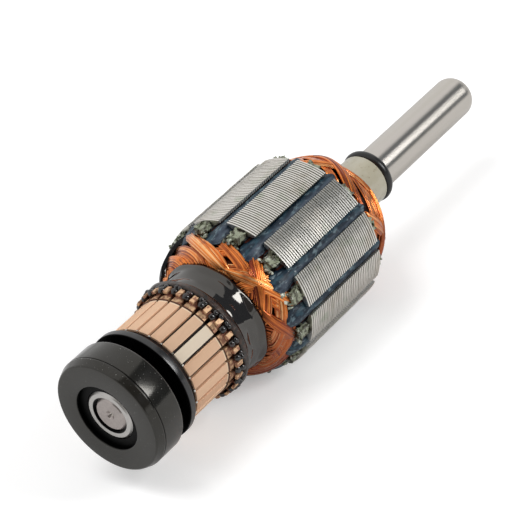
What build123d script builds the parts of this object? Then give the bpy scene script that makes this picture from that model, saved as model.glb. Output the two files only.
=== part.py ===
from build123d import *

import os
from math import asin, cos, degrees, radians, sin, tan

os.makedirs("parts", exist_ok=True)

# Motor armature of a small hand tool, in millimetres.
# The shaft lies along X, the commutator end towards -X and the drive end towards +X.
# The origin is on the axis, in the middle plane of the ball bearing.
# One slot of the core faces straight down, so the armature rests on two tooth edges.

# Clearances
press_gap = 0.02
seat_gap = 0.1

# Ball bearing at the commutator end
bearing_bore = 8.0
bearing_outside = 22.0
bearing_width = 7.0
ring_wall = 1.75
ring_chamfer = 0.4
ball_diameter = 3.97
ball_count = 7
race_clearance = 0.06
cage_wall = 1.0
cage_end_gap = 0.35
pocket_clearance = 0.12
seal_thickness = 0.5
seal_recess = 0.2
seal_lip_gap = 0.12

# Rubber boot around the bearing
boot_wall = 2.5
boot_bevel_height = 0.7
boot_bevel_length = 1.75
boot_bead_land = 0.25
boot_groove_width = 0.3
boot_groove_depth = 0.2
boot_length = 8.2
boot_lip = 1.0
boot_lip_reach = 0.8
boot_back_chamfer = 0.35

# Shaft
stem_diameter = 10.4
drive_journal_diameter = 10.0
shaft_recess = 0.2
drive_length = 39.56
journal_chamfer = 0.5
tip_rounding = 3.6
centre_drill_diameter = 2.0
centre_drill_depth = 1.2

# Dust disc between the bearing and the commutator
dust_disc_diameter = 26.0
dust_disc_thickness = 1.8
dust_disc_offset = 2.9
dust_disc_edge = 0.3
dust_hub_diameter = 11.5

# Commutator
bar_count = 24
bar_gap = 0.5
commutator_diameter = 24.2
brush_track_length = 10.8
strip_rise = 0.25
strip_length = 3.0
foot_floor = 1.3
foot_height = 1.2
foot_neck_inset = 3.5
foot_flare = 1.0
hook_width = 1.3
hook_length = 1.9
hook_rise = 1.25
hook_sheet = 0.6
moulding_nose = 1.5
moulding_nose_step = 0.5
web_side_gap = 0.1
web_recess = 0.7
bush_wall = 1.5

# Varnished collar over the coil leads
collar_length = 9.1
collar_edge_rise = 0.75
collar_rib_rise = 1.5
collar_rib_width = 2.1
collar_rib_slope = 0.5
collar_waist_rise = 0.45

# Laminated core
slot_count = 12
core_diameter = 37.4
core_length = 26.2
slot_opening = 2.25
tooth_neck = 3.3
tooth_lip = 0.65
slot_shoulder_depth = 1.7
slot_floor_radius = 10.0
slot_floor_round = 0.6

# End insulators
insulator_thickness = 1.2
insulator_inset = 1.5
finger_lip_length = 1.7
finger_lip_inset = 0.5
finger_side_inset = 0.15

# Slot liners and wedges
liner_thickness = 0.25
wedge_height = 1.25
wedge_sheet = 0.5
wedge_sink = 0.6
wedge_side_gap = 0.2
wedge_crest_gap = 0.17
wedge_front_overhang = 5.2
wedge_rear_overhang = 2.4
wedge_droop_length = 4.2
wedge_droop = 1.0

# Winding
coil_gap = 0.15
front_bell_length = 7.2
rear_bell_length = 13.6
bundle_crown_inset = 0.1
bundle_valley_depth = 1.3
nose_drop = 3.0
nose_valley_depth = 0.7
tail_wall = 1.35
tail_valley_depth = 0.5
bundle_lean = 9.0
front_twist = 66.0
rear_twist = -90.0
front_fullness = 0.5
rear_fullness = 0.75
bell_sections = 4

# Insulating sleeve and O-ring on the shaft
sleeve_wall = 0.95
sleeve_bare_length = 7.2
sleeve_end_chamfer = 0.35
o_ring_section = 1.2


# Values worked out from the sizes above: bearing end
half_bearing = bearing_width / 2
ball_ring_radius = (bearing_bore + bearing_outside) / 4
inner_land_radius = bearing_bore / 2 + ring_wall
outer_land_radius = bearing_outside / 2 - ring_wall
cage_width = bearing_width - 2 * (seal_recess + seal_thickness + cage_end_gap)
stem_radius = stem_diameter / 2
drive_radius = drive_journal_diameter / 2
journal_radius = bearing_bore / 2
shaft_front_x = -half_bearing + shaft_recess
shaft_shoulder_x = half_bearing + press_gap
boot_radius = bearing_outside / 2 + boot_wall
boot_front_x = -half_bearing - boot_lip
boot_back_x = boot_front_x + boot_length
disc_front_x = boot_back_x + dust_disc_offset
disc_back_x = disc_front_x + dust_disc_thickness

# Commutator and collar
moulding_front_x = disc_back_x + seat_gap
bar_front_x = moulding_front_x + moulding_nose
strip_front_x = bar_front_x + brush_track_length
bar_back_x = strip_front_x + strip_length
bush_radius = stem_radius + bush_wall
foot_radius = bush_radius + foot_floor
bar_inside_radius = foot_radius + foot_height
bar_radius = commutator_diameter / 2
strip_radius = bar_radius + strip_rise
hook_radius = strip_radius + hook_rise
hook_front_x = bar_back_x - hook_length
bar_pitch = 360 / bar_count
bar_arc = bar_pitch - degrees(bar_gap / bar_radius)
collar_front_x = bar_back_x + seat_gap
collar_crease_x = collar_front_x + collar_rib_width
collar_back_x = collar_front_x + collar_length

# Core, winding and sleeve
sleeve_front_x = bar_back_x + seat_gap
sleeve_radius = stem_radius + sleeve_wall
bore_radius = sleeve_radius + press_gap
winding_nose_x = collar_back_x + seat_gap
insulator_front_x = winding_nose_x + front_bell_length
core_front_x = insulator_front_x + insulator_thickness
core_back_x = core_front_x + core_length
insulator_back_x = core_back_x + insulator_thickness
winding_tail_x = insulator_back_x + rear_bell_length
sleeve_end_x = winding_tail_x + sleeve_bare_length
o_ring_x = sleeve_end_x + press_gap + o_ring_section / 2
drive_shoulder_x = o_ring_x + o_ring_section / 2 + press_gap
shaft_tip_x = drive_shoulder_x + drive_length
core_radius = core_diameter / 2
slot_pitch = 360 / slot_count
slot_shoulder_radius = core_radius - slot_shoulder_depth
wedge_top_radius = core_radius - wedge_sink
wedge_chord_radius = wedge_top_radius - wedge_height
winding_top_radius = wedge_chord_radius - coil_gap
bundle_crown_radius = winding_top_radius - bundle_crown_inset
bundle_valley_radius = bundle_crown_radius - bundle_valley_depth
nose_crown_radius = bundle_crown_radius - nose_drop
nose_valley_radius = nose_crown_radius - nose_valley_depth
tail_crown_radius = sleeve_radius + tail_wall
tail_valley_radius = tail_crown_radius - tail_valley_depth


def ring_section(*points):
    """Closed outline in the half plane beside the axis, as (place along X, radius)."""
    with BuildSketch(Plane.XY) as outline:
        with BuildLine():
            Polyline(*points, close=True)
        make_face()
    return outline.sketch


def polar(radius, angle):
    """Point at a radius and an angle in degrees."""
    return (radius * cos(radians(angle)), radius * sin(radians(angle)))


def slot_half_width(radius, neck):
    """Half the width of a slot between two parallel-sided teeth, at one radius."""
    half_pitch = radians(slot_pitch / 2)
    return radius * tan(half_pitch) - neck / 2 / cos(half_pitch)


def slot_outline(neck, floor_radius, top_radius):
    """Trapezoid of the slot space, drawn out along the sketch's own x."""
    floor_half = slot_half_width(floor_radius, neck)
    top_half = slot_half_width(top_radius, neck)
    return [
        (floor_radius, -floor_half),
        (top_radius, -top_half),
        (top_radius, top_half),
        (floor_radius, floor_half),
    ]


def slot_places():
    """The twelve slots around the axis, the first one along +Y."""
    return PolarLocations(0, slot_count)


# Shaft: front journal, stem, ground drive journal with a rounded tip, centre drilling

drill_radius = centre_drill_diameter / 2
with BuildPart() as shaft:
    with BuildSketch(Plane.XY):
        with BuildLine():
            tip_start = Polyline(
                (shaft_front_x + centre_drill_depth, 0),
                (shaft_front_x, drill_radius),
                (shaft_front_x, journal_radius - journal_chamfer),
                (shaft_front_x + journal_chamfer, journal_radius),
                (shaft_shoulder_x, journal_radius),
                (shaft_shoulder_x, stem_radius),
                (drive_shoulder_x, stem_radius),
                (drive_shoulder_x, drive_radius),
                (shaft_tip_x - tip_rounding, drive_radius),
            )
            tip_arc = JernArc(tip_start @ 1, (1, 0), tip_rounding, -90)
            Polyline(tip_arc @ 1, (shaft_tip_x, 0), (shaft_front_x + centre_drill_depth, 0))
        make_face()
    revolve(axis=Axis.X)
shaft.part.label = "shaft"
export_step(shaft.part, "parts/shaft.step")


# Bearing: two grooved rings, seven balls, a windowed cage and two rubber seals

groove_radius = ball_diameter / 2 + race_clearance

with BuildPart() as inner_ring:
    inner_bore_radius = journal_radius + press_gap
    with BuildSketch(Plane.XY):
        with Locations((0, (inner_bore_radius + inner_land_radius) / 2)):
            Rectangle(bearing_width, inner_land_radius - inner_bore_radius)
        chamfer(vertices(), ring_chamfer)
        with Locations((0, ball_ring_radius)):
            Circle(groove_radius, mode=Mode.SUBTRACT)
    revolve(axis=Axis.X)
inner_ring.part.label = "bearing_inner_ring"
export_step(inner_ring.part, "parts/bearing_inner_ring.step")

with BuildPart() as outer_ring:
    with BuildSketch(Plane.XY):
        with Locations((0, outer_land_radius + ring_wall / 2)):
            Rectangle(bearing_width, ring_wall)
        chamfer(vertices(), ring_chamfer)
        with Locations((0, ball_ring_radius)):
            Circle(groove_radius, mode=Mode.SUBTRACT)
    revolve(axis=Axis.X)
outer_ring.part.label = "bearing_outer_ring"
export_step(outer_ring.part, "parts/bearing_outer_ring.step")

with BuildPart(Plane.YZ) as balls:
    with PolarLocations(ball_ring_radius, ball_count):
        Sphere(ball_diameter / 2)
balls.part.label = "bearing_balls"
export_step(balls.part, "parts/bearing_balls.step")

with BuildPart(Plane.YZ) as cage:
    Cylinder(ball_ring_radius + cage_wall / 2, cage_width)
    Cylinder(ball_ring_radius - cage_wall / 2, cage_width, mode=Mode.SUBTRACT)
    with PolarLocations(0, ball_count):
        Cylinder(
            ball_diameter / 2 + pocket_clearance,
            bearing_outside / 2,
            rotation=(0, 90, 0),
            align=(Align.CENTER, Align.CENTER, Align.MIN),
            mode=Mode.SUBTRACT,
        )
cage.part.label = "bearing_cage"
export_step(cage.part, "parts/bearing_cage.step")

seal_inside_radius = inner_land_radius + seal_lip_gap
seal_outside_radius = outer_land_radius - press_gap
seal_outer_x = half_bearing - seal_recess
seal_inner_x = seal_outer_x - seal_thickness
for name, side in (("bearing_seal_front", -1), ("bearing_seal_rear", 1)):
    with BuildPart() as seal:
        seal_section = ring_section(
            (side * seal_inner_x, seal_inside_radius),
            (side * seal_outer_x, seal_inside_radius),
            (side * seal_outer_x, seal_outside_radius),
            (side * seal_inner_x, seal_outside_radius),
        )
        revolve(seal_section, axis=Axis.X)
    seal.part.label = name
    export_step(seal.part, f"parts/{name}.step")


# Rubber boot: bevelled nose, bead, parting groove, cylinder and an inward lip over the bearing's face

boot_bore_radius = bearing_outside / 2 + press_gap
boot_opening_radius = outer_land_radius - boot_lip_reach
boot_seat_x = -half_bearing - press_gap
bead_front_x = boot_front_x + boot_bevel_length
bead_back_x = bead_front_x + boot_bead_land
groove_middle_x = bead_back_x + boot_groove_width / 2
groove_back_x = bead_back_x + boot_groove_width
with BuildPart() as boot:
    boot_section = ring_section(
        (boot_front_x, boot_opening_radius),
        (boot_front_x, boot_radius - boot_bevel_height),
        (bead_front_x, boot_radius),
        (bead_back_x, boot_radius),
        (groove_middle_x, boot_radius - boot_groove_depth),
        (groove_back_x, boot_radius),
        (boot_back_x - boot_back_chamfer, boot_radius),
        (boot_back_x, boot_radius - boot_back_chamfer),
        (boot_back_x, boot_bore_radius),
        (boot_seat_x, boot_bore_radius),
        (boot_seat_x, boot_opening_radius),
    )
    revolve(boot_section, axis=Axis.X)
boot.part.label = "bearing_boot"
export_step(boot.part, "parts/bearing_boot.step")


# Dust disc with the hub that spaces it from the bearing

disc_radius = dust_disc_diameter / 2
disc_bore_radius = stem_radius + press_gap
dust_hub_front_x = half_bearing + seat_gap
with BuildPart() as dust_disc:
    disc_section = ring_section(
        (dust_hub_front_x, disc_bore_radius),
        (dust_hub_front_x, dust_hub_diameter / 2),
        (disc_front_x, dust_hub_diameter / 2),
        (disc_front_x, disc_radius - dust_disc_edge),
        (disc_front_x + dust_disc_edge, disc_radius),
        (disc_back_x - dust_disc_edge, disc_radius),
        (disc_back_x, disc_radius - dust_disc_edge),
        (disc_back_x, disc_bore_radius),
    )
    revolve(disc_section, axis=Axis.X)
dust_disc.part.label = "dust_disc"
export_step(dust_disc.part, "parts/dust_disc.step")


# Commutator: steel bush, moulding with webs, and copper bars with dovetail feet and hooks

with BuildPart() as bush:
    bush_section = ring_section(
        (moulding_front_x, stem_radius + press_gap),
        (bar_back_x, stem_radius + press_gap),
        (bar_back_x, bush_radius),
        (moulding_front_x, bush_radius),
    )
    revolve(bush_section, axis=Axis.X)
bush.part.label = "commutator_bush"
export_step(bush.part, "parts/commutator_bush.step")

moulding_nose_radius = bar_radius - moulding_nose_step
web_thickness = bar_gap - 2 * web_side_gap
neck_front_x = bar_front_x + foot_neck_inset
neck_back_x = bar_back_x - foot_neck_inset
moulding_bore_radius = bush_radius + press_gap
moulding_floor_radius = bar_inside_radius - press_gap
web_inside_radius = foot_radius - foot_floor / 2
web_outside_radius = bar_radius - web_recess
with BuildPart() as moulding:
    moulding_section = ring_section(
        (moulding_front_x, moulding_bore_radius),
        (moulding_front_x, moulding_nose_radius),
        (bar_front_x - press_gap, moulding_nose_radius),
        (bar_front_x - press_gap, moulding_floor_radius),
        (bar_back_x, moulding_floor_radius),
        (bar_back_x, moulding_bore_radius),
    )
    revolve(moulding_section, axis=Axis.X)
    groove_section = ring_section(
        (neck_front_x - press_gap, bar_inside_radius),
        (neck_front_x - foot_flare - press_gap, foot_radius - press_gap),
        (neck_back_x + foot_flare + press_gap, foot_radius - press_gap),
        (neck_back_x + press_gap, bar_inside_radius),
    )
    revolve(groove_section, axis=Axis.X, mode=Mode.SUBTRACT)
    with BuildSketch(Plane.YZ.offset(bar_front_x)):
        with PolarLocations((web_inside_radius + web_outside_radius) / 2, bar_count):
            Rectangle(web_outside_radius - web_inside_radius, web_thickness)
    extrude(amount=bar_back_x - bar_front_x)
moulding.part.label = "commutator_moulding"
export_step(moulding.part, "parts/commutator_moulding.step")

bar_side = [
    (bar_front_x, bar_inside_radius),
    (bar_front_x, bar_radius),
    (strip_front_x, bar_radius),
    (strip_front_x, strip_radius),
    (bar_back_x, strip_radius),
    (bar_back_x, bar_inside_radius),
    (neck_back_x, bar_inside_radius),
    (neck_back_x + foot_flare, foot_radius),
    (neck_front_x - foot_flare, foot_radius),
    (neck_front_x, bar_inside_radius),
]
hook_side = [
    (bar_back_x, bar_radius),
    (bar_back_x, hook_radius),
    (hook_front_x, hook_radius),
    (hook_front_x, hook_radius - hook_sheet),
    (bar_back_x - hook_sheet, hook_radius - hook_sheet),
    (bar_back_x - hook_sheet, bar_radius),
]
for number in range(bar_count):
    bar_angle = bar_pitch * (number + 0.5)
    with BuildPart() as bar:
        with BuildSketch(Plane.XY.rotated((bar_angle - bar_arc / 2, 0, 0))):
            with BuildLine():
                Polyline(*bar_side, close=True)
            make_face()
        revolve(axis=Axis.X, revolution_arc=bar_arc)
        with BuildSketch(Plane.XY.rotated((bar_angle, 0, 0))):
            with BuildLine():
                Polyline(*hook_side, close=True)
            make_face()
        extrude(amount=hook_width / 2, both=True)
    bar.part.label = f"commutator_bar_{number + 1:02d}"
    export_step(bar.part, f"parts/commutator_bar_{number + 1:02d}.step")


# Collar of varnish over the leads from the hooks to the coils

collar_edge_radius = strip_radius + collar_edge_rise
collar_rib_radius = strip_radius + collar_rib_rise
collar_bore_radius = sleeve_radius + seat_gap
collar_crease = (collar_crease_x, collar_edge_radius)
collar_root = (collar_back_x, nose_crown_radius - seat_gap)
waist = ((collar_crease_x + collar_back_x) / 2, strip_radius + collar_waist_rise)
with BuildPart() as collar:
    with BuildSketch(Plane.XY):
        with BuildLine():
            Polyline(
                collar_crease,
                (collar_crease_x - collar_rib_slope, collar_rib_radius),
                (collar_front_x + collar_rib_slope, collar_rib_radius),
                (collar_front_x, collar_edge_radius),
                (collar_front_x, collar_bore_radius),
                (collar_back_x, collar_bore_radius),
                collar_root,
            )
            ThreePointArc(collar_root, waist, collar_crease)
        make_face()
    revolve(axis=Axis.X)
collar.part.label = "lead_collar"
export_step(collar.part, "parts/lead_collar.step")


# Laminated core with twelve half-closed slots

shoulder_half = slot_half_width(slot_shoulder_radius, tooth_neck)
lip_radius = core_radius - tooth_lip
slot_mouth = [
    (slot_shoulder_radius, -shoulder_half),
    (lip_radius, -slot_opening / 2),
    (core_radius + tooth_lip, -slot_opening / 2),
    (core_radius + tooth_lip, slot_opening / 2),
    (lip_radius, slot_opening / 2),
    (slot_shoulder_radius, shoulder_half),
]


def slot_shape(neck, floor_radius, top_radius, rounding):
    """Slot space with rounded floor corners, drawn out along the sketch's own x."""
    with BuildSketch() as space:
        Polygon(*slot_outline(neck, floor_radius, top_radius), align=None)
        fillet(space.vertices().group_by(Axis.X)[0], rounding)
    return space.sketch


slot_hole = slot_shape(tooth_neck, slot_floor_radius, slot_shoulder_radius, slot_floor_round)
with BuildPart() as core:
    with BuildSketch(Plane.YZ.offset(core_front_x)):
        Circle(core_radius)
        Circle(bore_radius, mode=Mode.SUBTRACT)
        with slot_places():
            add(slot_hole, mode=Mode.SUBTRACT)
            Polygon(*slot_mouth, align=None, mode=Mode.SUBTRACT)
    extrude(amount=core_length)
core.part.label = "laminated_core"
export_step(core.part, "parts/laminated_core.step")


# End insulators: a spider that covers the teeth, with a lip at the end of each finger

insulator_radius = core_radius - insulator_inset
finger_lip_low = bundle_crown_radius + coil_gap
finger_lip_high = core_radius - finger_lip_inset
finger_lip_width = tooth_neck - 2 * finger_side_inset
window = slot_shape(tooth_neck, slot_floor_radius, core_radius, slot_floor_round)
lip_middle = (finger_lip_low + finger_lip_high) / 2
for name, face_x, outward in (
    ("front_end_insulator", core_front_x, -1),
    ("rear_end_insulator", core_back_x, 1),
):
    with BuildPart() as insulator:
        with BuildSketch(Plane.YZ.offset(face_x)):
            Circle(insulator_radius)
            Circle(bore_radius, mode=Mode.SUBTRACT)
            with slot_places():
                add(window, mode=Mode.SUBTRACT)
        extrude(amount=outward * insulator_thickness)
        with BuildSketch(Plane.YZ.offset(face_x)):
            with PolarLocations(lip_middle, slot_count, start_angle=slot_pitch / 2):
                Rectangle(finger_lip_high - finger_lip_low, finger_lip_width)
        extrude(amount=outward * (insulator_thickness + finger_lip_length))
    insulator.part.label = name
    export_step(insulator.part, f"parts/{name}.step")


# Slot liners: a folded paper channel in each slot

liner_outer_neck = tooth_neck + 2 * press_gap
liner_floor_radius = slot_floor_radius + press_gap
liner_top_radius = slot_shoulder_radius - press_gap
liner_inner_neck = liner_outer_neck + 2 * liner_thickness
liner_inner_floor = liner_floor_radius + liner_thickness
liner_outside = slot_shape(
    liner_outer_neck, liner_floor_radius, liner_top_radius, slot_floor_round
)
liner_inside = slot_shape(
    liner_inner_neck,
    liner_inner_floor,
    core_radius,
    slot_floor_round - liner_thickness,
)
with BuildPart() as liners:
    with BuildSketch(Plane.YZ.offset(insulator_front_x)):
        with slot_places():
            add(liner_outside)
            add(liner_inside, mode=Mode.SUBTRACT)
    extrude(amount=insulator_back_x - insulator_front_x)
liners.part.label = "slot_liners"
export_step(liners.part, "parts/slot_liners.step")


# Slot wedges: strips folded to a trough and slid in upside down under the tooth tips.
# Their tongues reach past both ends of the core.

wedge_half = slot_half_width(wedge_chord_radius, tooth_neck) - liner_thickness - wedge_side_gap
wedge_crest_half = slot_opening / 2 - wedge_crest_gap
wedge_middle_radius = wedge_top_radius - wedge_height / 2
wedge_hollow_top = wedge_top_radius - wedge_sheet
wedge_hollow_half = wedge_half - wedge_sheet
wedge_front_x = core_front_x - wedge_front_overhang
wedge_back_x = core_back_x + wedge_rear_overhang
droop_start_x = wedge_front_x + wedge_droop_length
droop_radius = (wedge_droop_length**2 + wedge_droop**2) / (2 * wedge_droop)
droop_angle = degrees(asin(wedge_droop_length / droop_radius))
for number in range(slot_count):
    wedge_turn = slot_pitch * number
    with BuildPart() as wedge:
        with BuildLine(Plane.XY.rotated((wedge_turn, 0, 0))) as wedge_run:
            level = Line(
                (wedge_back_x, wedge_middle_radius),
                (droop_start_x, wedge_middle_radius),
            )
            JernArc(level @ 1, (-1, 0), droop_radius, droop_angle)
        with BuildSketch(Plane.YZ.offset(wedge_back_x).rotated((wedge_turn, 0, 0))):
            with BuildLine():
                Polyline(
                    (wedge_chord_radius, -wedge_half),
                    (wedge_top_radius, -wedge_crest_half),
                    (wedge_top_radius, wedge_crest_half),
                    (wedge_chord_radius, wedge_half),
                    (wedge_chord_radius, wedge_hollow_half),
                    (wedge_hollow_top, wedge_crest_half),
                    (wedge_hollow_top, -wedge_crest_half),
                    (wedge_chord_radius, -wedge_hollow_half),
                    close=True,
                )
            make_face()
        sweep(path=wedge_run.wires()[0])
        with BuildSketch(Plane.XZ.rotated((wedge_turn, 0, 0))):
            with Locations(((wedge_front_x + wedge_back_x) / 2, 0)):
                SlotOverall(wedge_back_x - wedge_front_x, 2 * wedge_half)
        extrude(amount=-core_radius, mode=Mode.INTERSECT)
    wedge.part.label = f"slot_wedge_{number + 1:02d}"
    export_step(wedge.part, f"parts/slot_wedge_{number + 1:02d}.step")


# Winding: bundles in the slots, and a twisted bell of crossing bundles at each end

def bundle_ring(x, crown_radius, valley_radius, turn, lean):
    """Outline of the twelve bundles round a bell, each one lapping over the next like a shingle."""
    corners = []
    for bundle in range(slot_count):
        middle = slot_pitch * bundle + turn
        corners.append(polar(valley_radius, middle - slot_pitch / 2))
        corners.append(polar(crown_radius, middle + lean))
    with BuildSketch(Plane.YZ.offset(x)) as ring:
        with BuildLine():
            Polyline(*corners, close=True)
        make_face()
    return ring.sketch


def bell_outlines(start_x, end_x, end_crown, end_valley, twist, lean, fullness):
    """Sections of one bell, from the core's end to its outer end."""
    outlines = []
    for section in range(bell_sections):
        share = section / (bell_sections - 1)
        swell = (1 - share**2) ** fullness
        outlines.append(
            bundle_ring(
                start_x + (end_x - start_x) * share,
                end_crown + (bundle_crown_radius - end_crown) * swell,
                end_valley + (bundle_valley_radius - end_valley) * swell,
                twist * share,
                lean,
            )
        )
    return outlines


bell_front_x = insulator_front_x - press_gap
bell_back_x = insulator_back_x + press_gap
bundle_neck = liner_inner_neck + 2 * press_gap
bundle_floor_radius = liner_inner_floor + press_gap
bundle_floor_round = slot_floor_round - liner_thickness - press_gap
bundle = slot_shape(bundle_neck, bundle_floor_radius, winding_top_radius, bundle_floor_round)
with BuildPart() as winding:
    loft(
        bell_outlines(
            bell_front_x,
            winding_nose_x,
            nose_crown_radius,
            nose_valley_radius,
            front_twist,
            bundle_lean,
            front_fullness,
        ),
        ruled=True,
    )
    loft(
        bell_outlines(
            bell_back_x,
            winding_tail_x,
            tail_crown_radius,
            tail_valley_radius,
            rear_twist,
            -bundle_lean,
            rear_fullness,
        ),
        ruled=True,
    )
    with BuildSketch(Plane.YZ.offset(winding_nose_x)):
        Circle(collar_bore_radius)
    extrude(amount=winding_tail_x - winding_nose_x, mode=Mode.SUBTRACT)
    with BuildSketch(Plane.YZ.offset(bell_front_x)):
        with slot_places():
            add(bundle)
    extrude(amount=bell_back_x - bell_front_x)
winding.part.label = "armature_winding"
export_step(winding.part, "parts/armature_winding.step")


# Sleeve and O-ring on the shaft

with BuildPart() as sleeve:
    sleeve_bore_radius = stem_radius + press_gap
    sleeve_section = ring_section(
        (sleeve_front_x, sleeve_bore_radius),
        (sleeve_end_x, sleeve_bore_radius),
        (sleeve_end_x, sleeve_radius - sleeve_end_chamfer),
        (sleeve_end_x - sleeve_end_chamfer, sleeve_radius),
        (sleeve_front_x, sleeve_radius),
    )
    revolve(sleeve_section, axis=Axis.X)
sleeve.part.label = "shaft_sleeve"
export_step(sleeve.part, "parts/shaft_sleeve.step")

with BuildPart() as o_ring:
    o_ring_radius = stem_radius + press_gap + o_ring_section / 2
    with BuildSketch(Plane.XY):
        with Locations((o_ring_x, o_ring_radius)):
            Circle(o_ring_section / 2)
    revolve(axis=Axis.X)
o_ring.part.label = "o_ring"
export_step(o_ring.part, "parts/o_ring.step")
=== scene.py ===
"""Motor armature: the looks of its pieces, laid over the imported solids."""

import math

import bmesh
import bpy
from mathutils import Matrix, Vector, noise


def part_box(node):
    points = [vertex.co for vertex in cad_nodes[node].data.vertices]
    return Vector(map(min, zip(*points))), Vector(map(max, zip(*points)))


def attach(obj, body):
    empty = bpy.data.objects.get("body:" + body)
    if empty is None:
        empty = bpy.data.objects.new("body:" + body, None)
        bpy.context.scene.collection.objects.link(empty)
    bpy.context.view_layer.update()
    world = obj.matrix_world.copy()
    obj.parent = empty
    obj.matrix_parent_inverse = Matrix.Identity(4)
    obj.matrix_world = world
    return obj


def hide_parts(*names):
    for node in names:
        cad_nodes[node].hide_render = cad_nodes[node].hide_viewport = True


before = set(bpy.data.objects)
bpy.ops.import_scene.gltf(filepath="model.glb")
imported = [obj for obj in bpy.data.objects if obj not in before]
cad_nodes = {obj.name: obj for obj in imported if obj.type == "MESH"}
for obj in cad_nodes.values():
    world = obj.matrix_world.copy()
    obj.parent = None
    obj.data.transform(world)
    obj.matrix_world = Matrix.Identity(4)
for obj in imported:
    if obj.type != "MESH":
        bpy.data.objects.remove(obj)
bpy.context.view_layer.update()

MM = 0.001
SAME_POINT = 0.002 * MM
ROTOR = "rotor"
BEARING = "bearing_outer"

# Sizes in millimetres. Places along the shaft are measured from the bearing's middle plane.


def reach(node):
    """Front and back of a CAD node along the shaft, and its outside radius."""
    low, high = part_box(node)
    return low.x / MM, high.x / MM, (high.y - low.y) / 2 / MM


boot_front, boot_back, boot_radius = reach("bearing_boot")
hub_front, disc_back, disc_radius = reach("dust_disc")
bar_front, bar_back = reach("commutator_bar_01")[:2]
collar_front, collar_back = reach("lead_collar")[:2]
core_front, core_back, core_radius = reach("laminated_core")
insulator_front = reach("front_end_insulator")[0]
insulator_back = reach("rear_end_insulator")[1]
winding_front, winding_back = reach("armature_winding")[:2]
sleeve_front, sleeve_back, sleeve_radius = reach("shaft_sleeve")
ring_front, ring_radius = reach("o_ring")[::2]
shaft_front, _, stem_radius = reach("shaft")
wedge_front = reach("slot_wedge_01")[0]

boot_groove = boot_front + 2.15
opening_radius = 7.7
disc_thickness = 1.8
disc_front = disc_back - disc_thickness
bar_count = 24
commutator_radius = 12.1
riser_front = bar_back - 3.0
slot_count = 12
slot_pitch = 2 * math.pi / slot_count
sheet_count = 40
wire_diameter = 0.5


# Node trees, written as ordinary arithmetic


class Field:
    """A value worked out by a node tree, usable in ordinary arithmetic."""

    def __init__(self, tree, socket):
        self.tree = tree
        self.socket = socket

    def combine(self, operation, first, second=0.0):
        step = self.tree.nodes.new("ShaderNodeMath")
        step.operation = operation
        plug(self.tree, step.inputs[0], first)
        plug(self.tree, step.inputs[1], second)
        return Field(self.tree, step.outputs[0])

    def __add__(self, other):
        return self.combine("ADD", self, other)

    def __radd__(self, other):
        return self.combine("ADD", other, self)

    def __sub__(self, other):
        return self.combine("SUBTRACT", self, other)

    def __rsub__(self, other):
        return self.combine("SUBTRACT", other, self)

    def __mul__(self, other):
        return self.combine("MULTIPLY", self, other)

    def __rmul__(self, other):
        return self.combine("MULTIPLY", other, self)

    def __truediv__(self, other):
        return self.combine("DIVIDE", self, other)

    def __pow__(self, other):
        return self.combine("POWER", self, other)

    def floor(self):
        return self.combine("FLOOR", self)

    def sine(self):
        return self.combine("SINE", self)

    def cosine(self):
        return self.combine("COSINE", self)

    def modulo(self, other):
        return self.combine("MODULO", self, other)

    def at_least(self, other):
        return self.combine("MAXIMUM", self, other)

    def at_most(self, other):
        return self.combine("MINIMUM", self, other)

    def within(self, low, high, start=0.0, end=1.0):
        """Ramp from start to end as the value goes from low to high."""
        ramp = self.tree.nodes.new("ShaderNodeMapRange")
        for name, value in (
            ("Value", self),
            ("From Min", low),
            ("From Max", high),
            ("To Min", start),
            ("To Max", end),
        ):
            plug(self.tree, ramp.inputs[name], value)
        return Field(self.tree, ramp.outputs[0])

    def past(self, place, blur):
        """0 before a place in millimetres and 1 beyond it, blurred to each side."""
        return self.within((place - blur) * MM, (place + blur) * MM)

    def before(self, place, blur):
        """1 before a place in millimetres and 0 beyond it, blurred to each side."""
        return self.within((place + blur) * MM, (place - blur) * MM)


def plug(tree, socket, value):
    """Set an input to a number, or link it to what another node gives."""
    if isinstance(value, Field):
        tree.links.new(value.socket, socket)
    elif isinstance(value, bpy.types.NodeSocket):
        tree.links.new(value, socket)
    else:
        socket.default_value = value


def place_node(tree, kind, settings=None, **inputs):
    """Add a node with its settings and inputs. An underscore in an input's name stands for a space."""
    made = tree.nodes.new(kind)
    for name, value in (settings or {}).items():
        setattr(made, name, value)
    for name, value in inputs.items():
        plug(tree, made.inputs[name.replace("_", " ")], value)
    return made


# Finishes


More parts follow.
